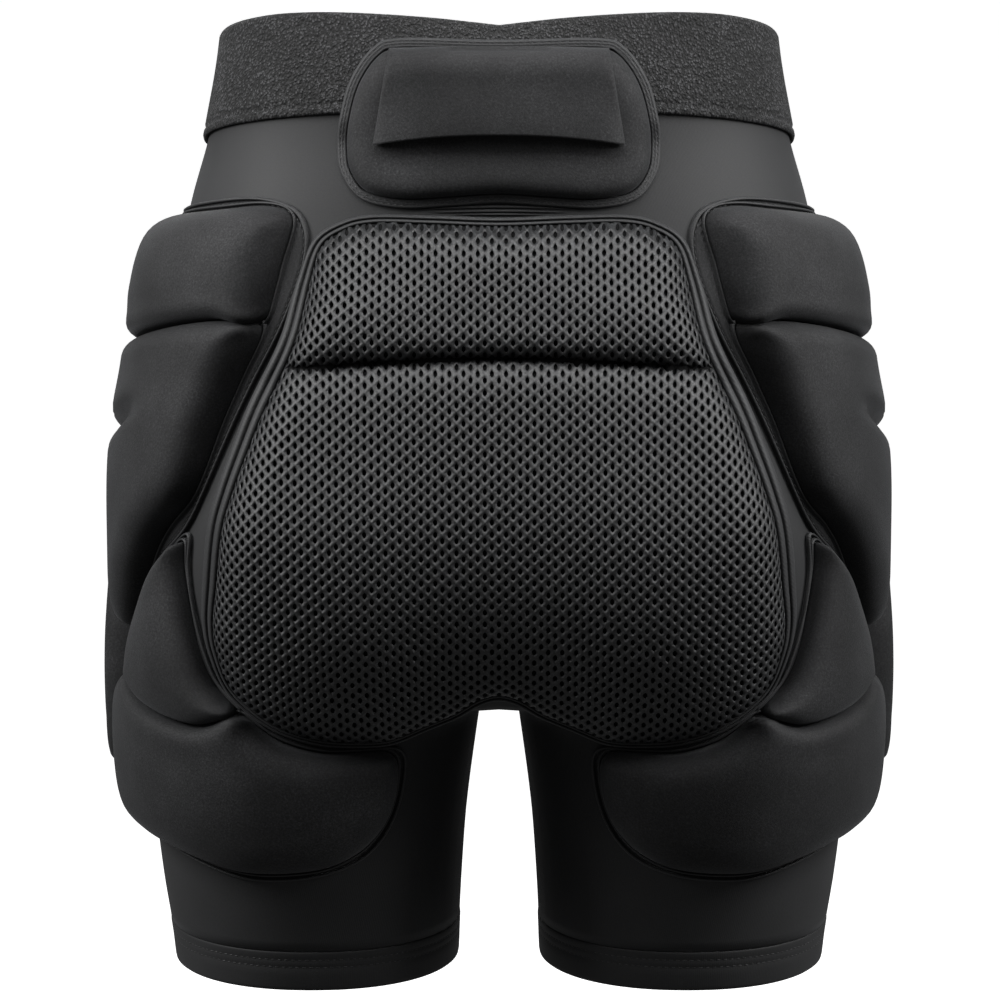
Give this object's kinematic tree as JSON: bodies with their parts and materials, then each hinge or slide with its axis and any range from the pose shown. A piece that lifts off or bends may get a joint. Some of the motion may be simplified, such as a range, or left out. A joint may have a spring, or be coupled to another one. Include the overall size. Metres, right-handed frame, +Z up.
{
  "type": "padded hip shorts",
  "caption": "Hollow stretch shorts with an elastic waistband and foam pads over the lower back, seat, hips and thighs.",
  "frame": {"origin": "middle of the waist opening, level with the middle of the waistband at the sides", "axes": "+Z up the body, +X to the wearer's right, -Y towards the wearer's back"},
  "size_m": [0.358, 0.2402, 0.4277],
  "materials": {
    "stretch_cloth": "matte",
    "elastic": "matte",
    "binding": "matte",
    "pad_cloth": "matte",
    "mesh_cloth": "matte"
  },
  "bodies": {
    "root": {"shell": "stretch_cloth", "waistband": "elastic", "hem_right": "stretch_cloth", "hem_left": "stretch_cloth", "lumbar_border": "binding", "lumbar_pad": "pad_cloth", "lumbar_flap": "pad_cloth", "seat_border": "binding", "seat_pad": "mesh_cloth", "side_pad_right": "pad_cloth", "side_pad_left": "pad_cloth", "thigh_pad_right": "pad_cloth", "thigh_pad_left": "pad_cloth", "front_pad_right": "pad_cloth", "front_pad_left": "pad_cloth"}
  },
  "joints": []
}
